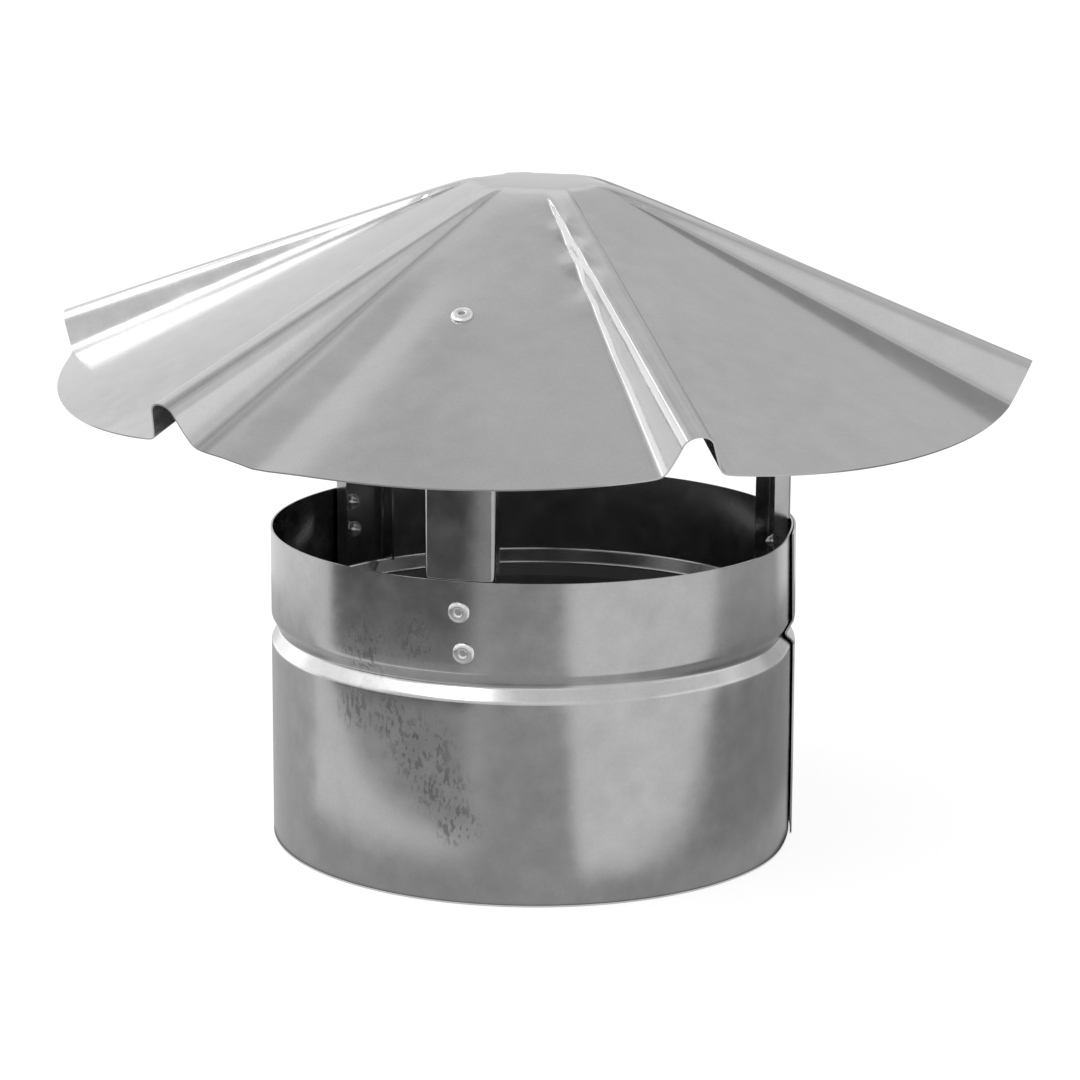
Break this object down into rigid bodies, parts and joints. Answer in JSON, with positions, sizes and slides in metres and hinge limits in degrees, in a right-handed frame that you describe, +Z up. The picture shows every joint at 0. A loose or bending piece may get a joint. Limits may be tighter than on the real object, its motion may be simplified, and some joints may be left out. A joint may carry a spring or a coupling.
{
  "type": "chimney rain cap",
  "caption": "Galvanised rain cap for a round flue: a ribbed conical hat on folded legs, riveted inside a rolled collar with a stop bead.",
  "frame": {"origin": "centre of the collar's lower rim, on the flue's axis", "axes": "+Z up along the flue's axis, -Y towards the picture's front"},
  "size_m": [0.2752, 0.2706, 0.1899],
  "materials": {
    "galvanised_collar": "rolled galvanised sheet, satin grey with cloudy zinc marks",
    "galvanised_hat": "pressed galvanised sheet, satin grey, burnished where the ribs were drawn",
    "galvanised_legs": "folded galvanised strip, satin grey",
    "rivet_aluminium": "plain bright aluminium",
    "stem_steel": "broken steel wire end, dull"
  },
  "bodies": {
    "root": {"collar": "galvanised_collar", "rain_hat": "galvanised_hat", "front_leg": "galvanised_legs", "rear_left_leg": "galvanised_legs", "right_leg": "galvanised_legs", "collar_rivets": "rivet_aluminium", "hat_rivets": "rivet_aluminium", "collar_rivet_stems": "stem_steel", "hat_rivet_stems": "stem_steel"}
  },
  "joints": []
}
